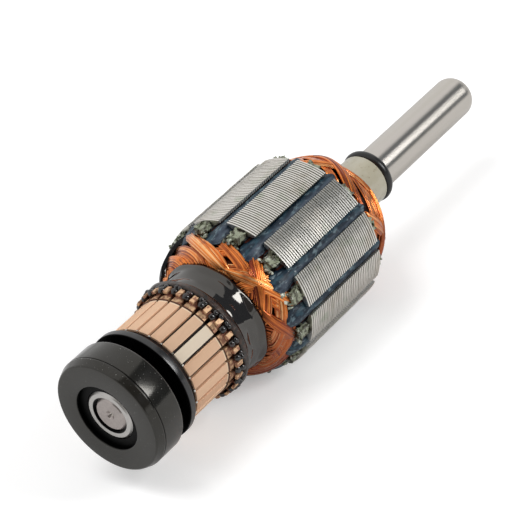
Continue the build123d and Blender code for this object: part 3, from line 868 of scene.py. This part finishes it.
def strand_recipe():
    """Bundles of wires that leave the slots, bow over a head and end at the shaft or in another slot."""
    recipe = Recipe("wire_strands")
    bundles = recipe.count("Bundles")
    bundle_pitch = recipe.angle("Bundle pitch")
    strands = recipe.count("Strands")
    points = recipe.count("Points")
    wire = recipe.length("Wire")
    start_x = recipe.length("Start")
    end_x = recipe.length("End")
    run_in = recipe.size("Run in")
    start_crown = recipe.length("Start crown")
    start_valley = recipe.length("Start valley")
    end_crown = recipe.length("End crown")
    end_valley = recipe.length("End valley")
    fullness = recipe.size("Fullness")
    crest = recipe.size("Crest")
    lap = recipe.size("Lap")
    dome = recipe.length("Dome")
    lift = recipe.length("Lift")
    first_turn = recipe.angle("First angle")
    twist = recipe.angle("Twist")
    turn_back = recipe.size("Turn back")
    start_spread = recipe.size("Start spread")
    middle_spread = recipe.size("Middle spread")
    end_spread = recipe.size("End spread")
    stray = recipe.size("Stray")
    sway = recipe.size("Sway")
    depth = recipe.size("Depth")
    rise = recipe.length("Rise")
    stack = recipe.length("Stack")
    bright = recipe.size("Bright")
    seed = recipe.count("Seed")

    # One curve for each wire, with its number and its bundle's
    line = recipe.add("GeometryNodeCurvePrimitiveLine")
    fine = recipe.add("GeometryNodeResampleCurve", Curve=line.outputs[0], Count=points)
    copies = recipe.add("GeometryNodeDuplicateElements", {"domain": "SPLINE"}, Amount=bundles * strands)
    recipe.tree.links.new(fine.outputs[0], copies.inputs["Geometry"])
    number = Field(recipe.tree, copies.outputs["Duplicate Index"])
    bundle = (number / strands).floor()

    # Way over the head, from 0 to 1, and below 0 while the wire is still in its slot
    along = recipe.field("GeometryNodeSplineParameter")
    share = along * (1.0 + run_in) - run_in
    in_slot = share.at_most(0.0)
    out = share.at_least(0.0)
    hump = (out * math.pi).sine().at_least(0.0)
    outward = (out * (1.0 - turn_back) + hump * turn_back) * depth
    place = start_x + (end_x - start_x) * (outward + in_slot)

    # Place across the bundle, in slot pitches
    phase = recipe.random(0.0, 2 * math.pi, number, seed + 1)
    wander = (along * 6.0 + phase).sine() * stray
    rank = (number.modulo(strands) + 0.5 + recipe.random(-0.45, 0.45, number, seed)) / strands
    early = (1.0 - out * 2.0).at_least(0.0)
    late = (out * 2.0 - 1.0).at_least(0.0)
    spread = middle_spread + (start_spread - middle_spread) * early + (end_spread - middle_spread) * late
    side = (rank - 0.5) * spread + wander
    own_turn = recipe.random(-1.0, 1.0, bundle, seed + 3) * sway * out
    turn = first_turn + bundle * bundle_pitch + twist * out + own_turn + side * slot_pitch

    # Height, with each bundle lapped over the next like a shingle, and a round outline along the shaft
    across = side + 0.5
    lapped = (across / crest).at_most((1.0 - across) / (1.0 - crest)).at_least(0.0)
    level = lapped * lap + 1.0 - lap
    swell = (1.0 - outward * outward).at_least(0.0) ** fullness
    crown = end_crown + (start_crown - end_crown) * swell
    valley = end_valley + (start_valley - end_valley) * swell
    bulge = (1.0 - (rank * 2.0 - 1.0) ** 2.0) * dome * (hump * 0.7 + 0.3)
    uneven = recipe.random(-1.0, 0.35, number, seed + 2) * wire * 0.35
    sunk = in_slot * 3.0 * MM / run_in.at_least(0.01)
    pile = recipe.random(-1.0, 1.0, bundle, seed + 6) * stack * hump
    radius = valley + (crown - valley) * level + bulge + lift + rise * out + uneven + sunk + pile

    moved = recipe.add(
        "GeometryNodeSetPosition",
        Geometry=copies.outputs["Geometry"],
        Position=recipe.round_axis(place, radius, turn),
    )
    # Painted light and shade: the Bright size shifts a whole group's tone, lighter above 0 and darker
    # below 0.
    tone = bright + recipe.random(0.0, 0.7, number, seed + 4) + recipe.random(0.0, 0.3, bundle, seed + 5)
    toned = recipe.keep(moved.outputs[0], "CURVE", "wire_tone_and_light", tone)
    circle = recipe.add("GeometryNodeCurvePrimitiveCircle", Resolution=8, Radius=wire * 0.5)
    tubes = recipe.add("GeometryNodeCurveToMesh", Curve=toned, Profile_Curve=circle.outputs[0])
    tubes.inputs["Fill Caps"].default_value = True
    recipe.close(tubes.outputs[0], True)
    return recipe


def make_heads():
    """Solid body of the winding's heads, drawn in by the depth of the wires that are laid over it."""
    front_drop = 1.0
    rear_drop = 2.8
    heads = merged_copy("armature_winding")
    for vertex in heads.vertices:
        x = vertex.co.x / MM
        radius = math.hypot(vertex.co.y, vertex.co.z) / MM
        beyond = max(insulator_front - x, x - insulator_back)
        if beyond <= 0.05 or radius < sleeve_radius + 0.3:
            continue
        drop = rear_drop if x > core_back else front_drop
        smaller = max(radius - drop, sleeve_radius + 0.1) / radius
        vertex.co.y *= smaller
        vertex.co.z *= smaller
    heads.materials.append(coil_finish)
    dress(new_piece("coil_heads", heads, 30), ROTOR, "enamelled_copper", "armature_winding")


def lay_strands():
    """Bundles of wire over both heads. The last coils wound lie on top of the others."""
    shared = dict(
        bundles=slot_count,
        bundle_pitch=360 / slot_count,
        points=26,
        wire=wire_diameter,
        start_crown=16.6,
        start_valley=15.3,
        lap=0.75,
        dome=0.0,
        lift=0.0,
        rise=0.0,
        stack=0.2,
        bright=0.0,
        first_angle=0.0,
        turn_back=0.0,
        depth=1.0,
        start_spread=0.42,
        middle_spread=0.88,
        end_spread=0.8,
        stray=0.02,
        sway=0.22,
        material=wire_finish,
    )
    front = dict(
        shared,
        strands=17,
        start=insulator_front,
        end=winding_front,
        run_in=0.2,
        end_crown=13.6,
        end_valley=12.9,
        fullness=0.5,
        crest=0.8,
        twist=54,
        seed=3,
    )
    returning = dict(
        front,
        strands=10,
        lap=0.0,
        lift=-0.7,
        twist=-34,
        start_spread=0.4,
        middle_spread=0.6,
        end_spread=0.6,
        seed=9,
    )
    last = dict(
        front,
        bundles=2,
        bundle_pitch=180,
        start=insulator_front + 0.9,
        strands=26,
        points=44,
        first_angle=60,
        twist=107,
        turn_back=1.0,
        lap=0.0,
        dome=0.9,
        lift=0.35,
        rise=-0.5,
        stack=0.0,
        # Painted light: the last coils, lying on top, are drawn lighter.
        bright=0.18,
        start_spread=0.5,
        middle_spread=0.48,
        end_spread=0.5,
        sway=0.0,
        seed=17,
    )
    fan = dict(
        last,
        strands=18,
        first_angle=167,
        twist=-40,
        turn_back=0.0,
        dome=0.3,
        lift=0.0,
        rise=-0.2,
        start_spread=0.3,
        middle_spread=0.7,
        end_spread=1.0,
        seed=19,
    )
    lower = dict(
        last,
        strands=18,
        first_angle=122,
        twist=78,
        lift=-0.1,
        rise=-0.3,
        # Painted shade: the lower coils are drawn darker.
        bright=-0.15,
        seed=23,
    )
    rear = dict(
        shared,
        strands=18,
        start=insulator_back - 0.5,
        end=winding_back - 0.3,
        run_in=0.1,
        start_crown=15.9,
        start_valley=15.4,
        end_crown=7.4,
        end_valley=7.0,
        lap=0.6,
        middle_spread=1.0,
        end_spread=1.0,
        fullness=1.2,
        crest=0.2,
        twist=-90,
        seed=29,
    )
    rear_last = dict(
        rear,
        bundles=5,
        bundle_pitch=72,
        points=44,
        first_angle=20,
        twist=118,
        turn_back=1.0,
        depth=0.6,
        lap=0.0,
        dome=0.5,
        lift=0.1,
        rise=0.3,
        start_spread=0.5,
        middle_spread=0.7,
        end_spread=0.5,
        sway=0.1,
        seed=31,
    )
    recipe = strand_recipe()
    for name, sizes in (
        ("front_strands", front),
        ("returning_strands", returning),
        ("last_coils", last),
        ("last_coil_fans", fan),
        ("lower_coils", lower),
        ("rear_strands", rear),
        ("rear_last_coils", rear_last),
    ):
        dress(recipe.run(name, **sizes), ROTOR, "enamelled_copper")


make_heads()
lay_strands()


def dark_strip(turn, lean):
    """Dark strip laid over the winding from the core's front as far as the collar."""
    steps = 18
    sides = 8
    start_x = core_front - 0.5
    end_x = winding_front + 0.4
    end_radius = 13.85
    swell = 3.2
    points = []
    for i in range(steps + 1):
        share = i / steps
        x = start_x + (end_x - start_x) * share
        out = min(max((insulator_front - x) / (insulator_front - winding_front), 0.0), 1.0)
        crumple = 0.08 * math.sin(x * 1.7)
        r = end_radius + swell * math.sqrt(1.0 - out * out) + crumple
        half = math.radians(9.0 - 1.5 * share)
        for j in range(sides):
            angle = turn - lean * out + half * (2 * j / (sides - 1) - 1)
            points.append((x, r * math.cos(angle), r * math.sin(angle)))
    piece = thin_sheet("dark_strip", points, sides, 0.8)
    dress(coat(piece, paper), ROTOR, "slot_paper")


dark_strip(math.radians(48), math.radians(28))


# Slot wedges: strips folded along their length, with curled tongues past the core's ends


def wedge_strip(name, turn, curl, wave, lean):
    """One strip in the slot at an angle, folded along its length, as a thin closed sheet."""
    stations = 46
    sides = 11
    half_width = 2.35
    flat_half = 0.85
    tip_length = 2.2
    front_tongue = 4.2
    rear_tongue = 2.4
    top = core_radius - 0.75
    back = core_back + 1.3
    points = []
    sunny = []
    for i in range(stations + 1):
        share = i / stations
        x = wedge_front + (back - wedge_front) * share
        out_front = max(core_front - x, 0.0)
        out_back = max(x - core_back, 0.0)
        from_tip = min(x - wedge_front, (back - x) * 6.0)
        round_end = 1.0
        if from_tip < tip_length:
            round_end = math.sqrt(max(1.0 - (1.0 - from_tip / tip_length) ** 2, 0.0))
        half = half_width * max(round_end, 0.12)
        flat = min(max(out_front, out_back) / 2.5, 1.0)
        droop = (out_front / front_tongue) ** 2 * curl + 0.35 * (out_back / rear_tongue) ** 2
        slope = 0.95 * (1 - 0.55 * flat)
        for j in range(sides):
            s = 2 * j / (sides - 1) - 1
            across = s * half
            height = -slope * max(abs(across) - flat_half, 0.0)
            if across < -0.1:
                height -= 0.28 * min(-across - 0.1, 0.8)
            ripple = 0.10 * math.sin(x * 1.3 + wave) * flat
            ripple += 0.05 * math.sin(x * 0.9 + wave * 2 + s * 2)
            edge_lift = 0.35 * flat * (abs(s) ** 3) * (1 if s > 0 else -0.4) * lean
            r = top + height - droop + ripple * 0.6 + edge_lift
            angle = turn + across / (core_radius - 1.0)
            points.append((x, r * math.cos(angle), r * math.sin(angle)))
            sunny.append(1.0 if across > 0.15 else 0.0)
    return thin_sheet(name, points, sides, 0.28, sunny)


def make_wedges():
    """All strips, each with a curl, a wave and a lean of its own."""
    for index in range(slot_count):
        node = f"slot_wedge_{index + 1:02d}"
        low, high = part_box(node)
        middle = (low + high) / 2
        turn = math.atan2(middle.z, middle.y)
        curl = 0.8 + 0.5 * ((index * 7) % 5) / 4
        lean = 1.0 if index % 3 else -0.6
        piece = wedge_strip(f"wedge_{index + 1:02d}", turn, curl, index * 1.7, lean)
        dress(coat(piece, wedge_finish), ROTOR, "wedge_fibre", node)


make_wedges()


# Commutator: one bar of copper repeated round the bush


def bar_ring_recipe():
    """Copies of one bar round the shaft, each with a random tone; one of them gets a painted highlight."""
    recipe = Recipe("bar_ring")
    count = recipe.count("Bars")
    bright = recipe.count("Bright bar")
    seed = recipe.count("Seed")
    index = recipe.field("GeometryNodeInputIndex")
    placed = recipe.add(
        "GeometryNodeInstanceOnPoints",
        Points=recipe.points_at_origin(count),
        Instance=recipe.entry.outputs["Geometry"],
        Rotation=recipe.vector(index * (2 * math.pi) / count, 0.0, 0.0),
    )
    # Painted highlight: the chosen bar's value is raised past every random tone.
    painted_highlight = index.combine("COMPARE", index, bright) * 1.2
    tone = recipe.random(0.0, 1.0, index, seed).at_least(painted_highlight)
    recipe.close(recipe.keep(placed.outputs[0], "INSTANCE", "bar_tone_and_highlight", tone))
    return recipe


def make_bars():
    bar = merged_copy("commutator_bar_01")
    work = bmesh.new()
    work.from_mesh(bar)
    hard_edge = math.radians(35)
    sharp = [edge for edge in work.edges if edge.is_manifold and edge.calc_face_angle(0.0) > hard_edge]
    bmesh.ops.bevel(work, geom=sharp, offset=0.07 * MM, segments=2, affect="EDGES", clamp_overlap=True)
    middle = sum(math.atan2(v.co.z, v.co.y) for v in work.verts) / len(work.verts)
    for vertex in work.verts:
        radius = math.hypot(vertex.co.y, vertex.co.z)
        height = radius / MM - commutator_radius
        if height < -1.0:
            continue
        width_share = 0.935
        if vertex.co.x / MM > riser_front - 0.01 and height > 0.1:
            width_share = 0.86
        if height > 0.5:
            width_share = 0.82
        angle = middle + (math.atan2(vertex.co.z, vertex.co.y) - middle) * width_share
        vertex.co.y = radius * math.cos(angle)
        vertex.co.z = radius * math.sin(angle)
    work.to_mesh(bar)
    work.free()
    shade(bar, 12)
    recipe = bar_ring_recipe()
    # Bar 9 carries the painted highlight.
    bars = recipe.run("commutator_bars", bar, bars=bar_count, bright_bar=9, seed=5, material=copper)
    nodes = [name for name in cad_nodes if name.startswith("commutator_bar_")]
    dress(bars, ROTOR, "bar_copper", *nodes)


make_bars()


# Lumps: crumbs on the insulators' fingers, varnish beads by the hooks, pale chips between the bars


def lump_recipe():
    """Rough lumps in groups round the shaft, at random radii, places, sizes and tilts."""
    recipe = Recipe("lumps_round_shaft")
    places = recipe.count("Places")
    each = recipe.count("Each")
    first_turn = recipe.angle("First angle")
    spread = recipe.angle("Spread")
    low = recipe.length("Low radius")
    high = recipe.length("High radius")
    front = recipe.length("Front")
    back = recipe.length("Back")
    small = recipe.length("Small")
    large = recipe.length("Large")
    squash = recipe.size("Flatness")
    rough = recipe.length("Roughness")
    grain = recipe.size("Grain")
    fineness = recipe.count("Fineness")
    smooth = recipe.size("Smooth", "NodeSocketBool")
    seed = recipe.count("Seed")
    index = recipe.field("GeometryNodeInputIndex")
    place = (index / each).floor()
    rank = (index.modulo(each) + 0.5) / each - 0.5
    turn = first_turn + place * (2 * math.pi) / places
    turn = turn + (rank + recipe.random(-0.5, 0.5, index, seed) / each) * spread
    radius = recipe.random(low, high, index, seed + 1)
    x = recipe.random(front, back, index, seed + 2)
    moved = recipe.add(
        "GeometryNodeSetPosition",
        Geometry=recipe.points_at_origin(places * each),
        Position=recipe.round_axis(x, radius, turn),
    )
    ball = recipe.add("GeometryNodeMeshIcoSphere", Radius=0.5, Subdivisions=fineness)
    wide = recipe.random(small, large, index, seed + 3)
    long = recipe.random(small, large, index, seed + 4)
    tilt = recipe.random(-0.4, 0.4, index, seed + 5)
    swing = recipe.random(-0.5, 0.5, index, seed + 6)
    high_side = recipe.random(small, large, index, seed + 7) * squash
    beads = recipe.add(
        "GeometryNodeInstanceOnPoints",
        Points=moved.outputs[0],
        Instance=ball.outputs[0],
        Rotation=recipe.vector(turn, tilt, swing),
        Scale=recipe.vector(long, high_side, wide),
    )
    real = recipe.add("GeometryNodeRealizeInstances", Geometry=beads.outputs[0])
    bumps = recipe.add("ShaderNodeTexNoise", {"noise_dimensions": "3D"}, Scale=grain, Detail=2.0)
    plug(recipe.tree, bumps.inputs["Vector"], recipe.add("GeometryNodeInputPosition").outputs[0])
    swell = (Field(recipe.tree, bumps.outputs[0]) - 0.5) * rough
    push = recipe.add("ShaderNodeVectorMath", {"operation": "SCALE"})
    plug(recipe.tree, push.inputs[0], recipe.add("GeometryNodeInputNormal").outputs[0])
    plug(recipe.tree, push.inputs["Scale"], swell)
    lumpy = recipe.add("GeometryNodeSetPosition", Geometry=real.outputs[0], Offset=push.outputs[0])
    recipe.close(lumpy.outputs[0], smooth)
    return recipe


def make_lumps():
    crumb = dict(
        places=slot_count,
        first_angle=180 / slot_count,
        spread=14,
        small=0.55,
        flatness=0.8,
        roughness=0.7,
        grain=1000.0,
        fineness=2,
        smooth=False,
        material=crumb_finish,
    )
    front_crumb = dict(
        crumb,
        each=6,
        low_radius=16.2,
        high_radius=17.7,
        front=insulator_front - 1.3,
        back=insulator_front + 0.5,
        large=1.75,
        seed=41,
    )
    rear_crumb = dict(
        crumb,
        each=4,
        low_radius=15.9,
        high_radius=17.2,
        front=core_back + 0.5,
        back=core_back + 1.3,
        large=1.1,
        seed=47,
    )
    hook_bead = dict(
        places=bar_count,
        each=1,
        first_angle=0.0,
        spread=3,
        low_radius=12.9,
        high_radius=13.2,
        front=collar_front - 1.3,
        back=collar_front - 0.9,
        small=1.55,
        large=1.9,
        flatness=0.95,
        roughness=0.35,
        grain=700.0,
        fineness=3,
        smooth=True,
        seed=61,
        material=lead_finish,
    )
    collar_bead = dict(
        hook_bead,
        each=2,
        spread=14,
        low_radius=13.2,
        high_radius=13.45,
        front=collar_front - 0.15,
        back=collar_front + 0.25,
        small=1.2,
        large=1.5,
        seed=67,
    )
    chip = dict(
        hook_bead,
        spread=1,
        low_radius=commutator_radius - 0.25,
        high_radius=commutator_radius - 0.05,
        front=bar_front - 0.1,
        back=bar_front + 0.1,
        small=0.3,
        large=0.62,
        flatness=0.9,
        roughness=0.15,
        seed=71,
        material=pale_chip_finish,
    )
    recipe = lump_recipe()
    for name, slot, sizes in (
        ("front_finger_lumps", "insulator_plastic", front_crumb),
        ("rear_finger_lumps", "insulator_plastic", rear_crumb),
        ("hook_beads", "collar_varnish", hook_bead),
        ("collar_beads", "collar_varnish", collar_bead),
        ("slot_chips", "commutator_resin", chip),
    ):
        dress(recipe.run(name, **sizes), ROTOR, slot)


make_lumps()


def crumbled(node, name, seat, thinner):
    """Insulator whose fingers are rough and broken. What lies past its seat is made thinner."""
    hub_radius = 15.6
    coarse_grain = 1.3 * MM
    fine_grain = 0.55 * MM
    mesh = merged_copy(node)
    for vertex in mesh.vertices:
        past_seat = max(vertex.co.x - seat * MM, 0.0)
        vertex.co.x -= past_seat * (1.0 - thinner)
    whole = new_piece(name + "_whole", mesh)
    grid = whole.modifiers.new("grid", "REMESH")
    grid.mode = "VOXEL"
    grid.voxel_size = 0.26 * MM
    rough = finished_mesh(whole)
    for vertex in rough.vertices:
        if math.hypot(vertex.co.y, vertex.co.z) < hub_radius * MM:
            continue
        grain = noise.noise(vertex.co / coarse_grain) * 0.55 + noise.noise(vertex.co / fine_grain) * 0.2
        vertex.co += vertex.normal * ((grain - 0.25) * MM)
    piece = new_piece(name, rough, 40)
    dress(coat(piece, insulator_finish), ROTOR, "insulator_plastic", node)


crumbled("front_end_insulator", "front_insulator_ring", core_front, 1.0)
crumbled("rear_end_insulator", "rear_insulator_ring", core_back, 0.5)


# Turned pieces


def make_boot():
    seat_radius = 11.02
    seat_front = boot_front + 1.0
    boot = lathe(
        "boot",
        [
            (boot_front, boot_radius - 0.7, 0.5),
            (boot_groove - 0.4, boot_radius, 0.35),
            (boot_groove - 0.15, boot_radius, 0.05),
            (boot_groove, boot_radius - 0.2, 0.05),
            (boot_groove + 0.15, boot_radius, 0.08),
            (boot_back, boot_radius, 0.7),
            (boot_back, seat_radius, 0.15),
            (seat_front, seat_radius, 0.0),
            (seat_front, opening_radius, 0.1),
            (boot_front, opening_radius, 0.3),
        ],
        segments=192,
        smooth_angle=35,
        steps=6,
    )
    dress(coat(boot, boot_finish), BEARING, "boot_rubber", "bearing_boot")


def make_disc():
    hub_radius = 5.75
    bore = stem_radius + 0.05
    disc = lathe(
        "dust_disc_turned",
        [
            (hub_front, bore, 0.0),
            (hub_front, hub_radius, 0.1),
            (disc_front, hub_radius, 0.2),
            (disc_front, disc_radius, 0.3),
            (disc_back, disc_radius, 0.3),
            (disc_back, bore, 0.0),
        ],
        segments=160,
        smooth_angle=35,
    )
    dress(coat(disc, disc_finish), ROTOR, "disc_plastic", "dust_disc")


def flow(x, r, turn):
    """Slow sags of the collar's varnish. The bore stays round."""
    bore_side = 8.0
    if r < bore_side:
        return x, r
    sag = 0.10 * math.sin(3 * turn + 0.9 * x) + 0.07 * math.sin(7 * turn - 1.7 * x)
    sag += 0.05 * math.sin(13 * turn + 2.3 * x)
    return x, r + sag - 0.12


def make_collar():
    bead_radius = 13.9
    bore = 6.3
    collar = lathe(
        "collar",
        [
            (collar_front, 12.9, 0.35),
            (collar_front + 0.45, bead_radius, 0.45),
            (collar_front + 1.6, bead_radius, 0.4),
            (collar_front + 2.05, 13.3, 0.25),
            (collar_front + 2.6, 12.95, 0.6),
            (collar_front + 4.5, 12.75, 3.0),
            (collar_back - 1.8, 13.0, 3.0),
            (collar_back, bead_radius, 0.6),
            (collar_back, bore, 0.0),
            (collar_front, bore, 0.0),
        ],
        segments=240,
        smooth_angle=60,
        steps=7,
        ripple=flow,
    )
    dress(coat(collar, collar_finish), ROTOR, "collar_varnish", "lead_collar")


def make_sleeve():
    bore = stem_radius + 0.02
    sleeve = lathe(
        "sleeve",
        [
            (sleeve_front, bore, 0.0),
            (sleeve_front, sleeve_radius, 0.1),
            (sleeve_back, sleeve_radius, 0.6),
            (sleeve_back, bore, 0.0),
        ],
        segments=128,
        smooth_angle=35,
    )
    dress(coat(sleeve, sleeve_finish), ROTOR, "sleeve_fibre", "shaft_sleeve")


def make_o_ring():
    """Ring with an oval section, as it looks when stretched on the shaft."""
    inside = 5.05
    half_long = 1.05
    half_high = (ring_radius + 0.1 - inside) / 2
    points_round = 24
    section = []
    for step in range(points_round):
        turn = 2 * math.pi * step / points_round
        x = ring_front + half_long * (1 + math.cos(turn))
        section.append((x, inside + half_high * (1 + math.sin(turn)), 0.0))
    ring = lathe("o_ring_turned", section, segments=128, smooth_angle=60)
    dress(coat(ring, o_ring_finish), ROTOR, "ring_rubber", "o_ring")


make_boot()
make_disc()
make_collar()
make_sleeve()
make_o_ring()


# CAD pieces that keep their own shape

node_finishes = {
    "shaft": steel,
    "bearing_inner_ring": ring_steel,
    "bearing_outer_ring": ring_steel,
    "bearing_balls": ring_steel,
    "bearing_cage": cage_finish,
    "bearing_seal_front": seal_finish,
    "bearing_seal_rear": seal_finish,
    "bearing_boot": boot_finish,
    "dust_disc": disc_finish,
    "commutator_bush": bush_finish,
    "commutator_moulding": resin,
    "lead_collar": collar_finish,
    "laminated_core": sheet_finish,
    "front_end_insulator": insulator_finish,
    "rear_end_insulator": insulator_finish,
    "slot_liners": paper,
    "armature_winding": coil_finish,
    "shaft_sleeve": sleeve_finish,
    "o_ring": o_ring_finish,
}
for index in range(bar_count):
    node_finishes[f"commutator_bar_{index + 1:02d}"] = copper
for index in range(slot_count):
    node_finishes[f"slot_wedge_{index + 1:02d}"] = wedge_finish
for name, piece in cad_nodes.items():
    coat(piece, node_finishes[name])


# Studio


def lamp(name, place, width, height, power):
    """Soft lamp that is turned towards the object."""
    light = bpy.data.lights.new(name, "AREA")
    light.shape = "RECTANGLE"
    light.size = width
    light.size_y = height
    light.energy = power
    holder = bpy.data.objects.new(name, light)
    bpy.context.scene.collection.objects.link(holder)
    holder.location = place
    holder.rotation_mode = "QUATERNION"
    target = Vector((0.03, 0.0, 0.0))
    holder.rotation_quaternion = (target - Vector(place)).to_track_quat("-Z", "Y")
    return holder


def reflection_card(name, way, half_across, half_up, colour):
    """Card that stands in one direction from the object and is seen only in reflections."""
    distance = 1.3
    way = way.normalized()
    across = (Vector((1, 0, 0)) - way * way.x).normalized()
    upward = across.cross(way)
    corners = []
    for a, b in ((-1, -1), (1, -1), (1, 1), (-1, 1)):
        corners.append(tuple(way * distance + across * a * half_across + upward * b * half_up))
    mesh = bpy.data.meshes.new(name)
    mesh.from_pydata(corners, [], [(0, 1, 2, 3)])
    paint = Finish(name, (0.0, 0.0, 0.0), 1.0, 0.0, Specular_IOR_Level=0.0)
    paint.shader.inputs["Emission Color"].default_value = (*colour, 1.0)
    paint.shader.inputs["Emission Strength"].default_value = 1.0
    card = coat(new_piece(name, mesh), paint.material)
    card.visible_camera = False
    card.visible_diffuse = False
    card.visible_shadow = False


def make_floor():
    """Pale floor just under the core, which keeps the object's shadow."""
    half = 4.0
    level = -18.75 * MM
    mesh = bpy.data.meshes.new("floor")
    corners = [(-half, -half, level), (half, -half, level), (half, half, level), (-half, half, level)]
    mesh.from_pydata(corners, [], [(0, 1, 2, 3)])
    floor = new_piece("floor", mesh)
    paint = Finish("floor_paper", (0.80, 0.80, 0.80), 0.9, 0.0, Specular_IOR_Level=0.0)
    tree = paint.tree
    rays = tree.nodes.new("ShaderNodeLightPath")
    glow = tree.nodes.new("ShaderNodeEmission")
    glow.inputs["Color"].default_value = (1.0, 1.0, 1.0, 1.0)
    plug(tree, glow.inputs["Strength"], Field(tree, rays.outputs["Is Camera Ray"]) * 0.3)
    total = tree.nodes.new("ShaderNodeAddShader")
    tree.links.new(paint.shader.outputs[0], total.inputs[0])
    tree.links.new(glow.outputs[0], total.inputs[1])
    tree.links.new(total.outputs[0], tree.nodes["Material Output"].inputs["Surface"])
    coat(floor, paint.material)


def make_surroundings():
    """White all round for the camera and in reflections, and half as strong as a light."""
    world = bpy.data.worlds.new("studio")
    world.use_nodes = True
    bpy.context.scene.world = world
    tree = world.node_tree
    background = tree.nodes["Background"]
    background.inputs["Color"].default_value = (1.0, 1.0, 1.0, 1.0)
    rays = tree.nodes.new("ShaderNodeLightPath")
    camera_sees = Field(tree, rays.outputs["Is Camera Ray"])
    mirror_sees = Field(tree, rays.outputs["Is Glossy Ray"])
    strength = camera_sees.at_least(mirror_sees) * 0.5 + 0.5
    plug(tree, background.inputs["Strength"], strength)


def make_lights():
    """Key lamp, top lamp, and dark cards that give the metal and the rubber their shading."""
    key_way = Vector((0.375, -0.755, 0.535))
    lamp("key_lamp", key_way * 0.9, 0.26, 0.40, 4.0)
    soft = lamp("top_softbox", (-0.2, 0.25, 0.9), 0.6, 0.6, 4.5)
    soft.visible_glossy = False
    far_side = math.radians(152)
    far_way = Vector((0.6, 0.8 * math.cos(far_side), 0.8 * math.sin(far_side)))
    reflection_card("dark_card", far_way, 1.0, 0.92, (0.10, 0.12, 0.14))
    camera_way = Vector((-0.61, -0.587, 0.531))
    reflection_card("camera_side_card", camera_way, 0.85, 0.85, (0.16, 0.15, 0.14))


def make_camera():
    """Camera at the photograph's viewing angle, from the commutator's end, rolled to one side."""
    lens = bpy.data.cameras.new("camera")
    lens.sensor_width = 36.0
    lens.lens = 153.9
    lens.clip_start = 0.01
    lens.clip_end = 20.0
    camera = bpy.data.objects.new("camera", lens)
    bpy.context.scene.collection.objects.link(camera)
    forward = Vector((0.6108, 0.5874, -0.5310)).normalized()
    up = Vector((0.5372, 0.1853, 0.8229))
    up = (up - forward * up.dot(forward)).normalized()
    right = forward.cross(up)
    pose = Matrix((right, up, -forward)).transposed().to_4x4()
    pose.translation = (-0.2476, -0.2870, 0.2613)
    camera.matrix_world = pose
    bpy.context.scene.camera = camera


make_floor()
make_surroundings()
make_lights()
make_camera()
bpy.context.scene.view_settings.view_transform = "Standard"
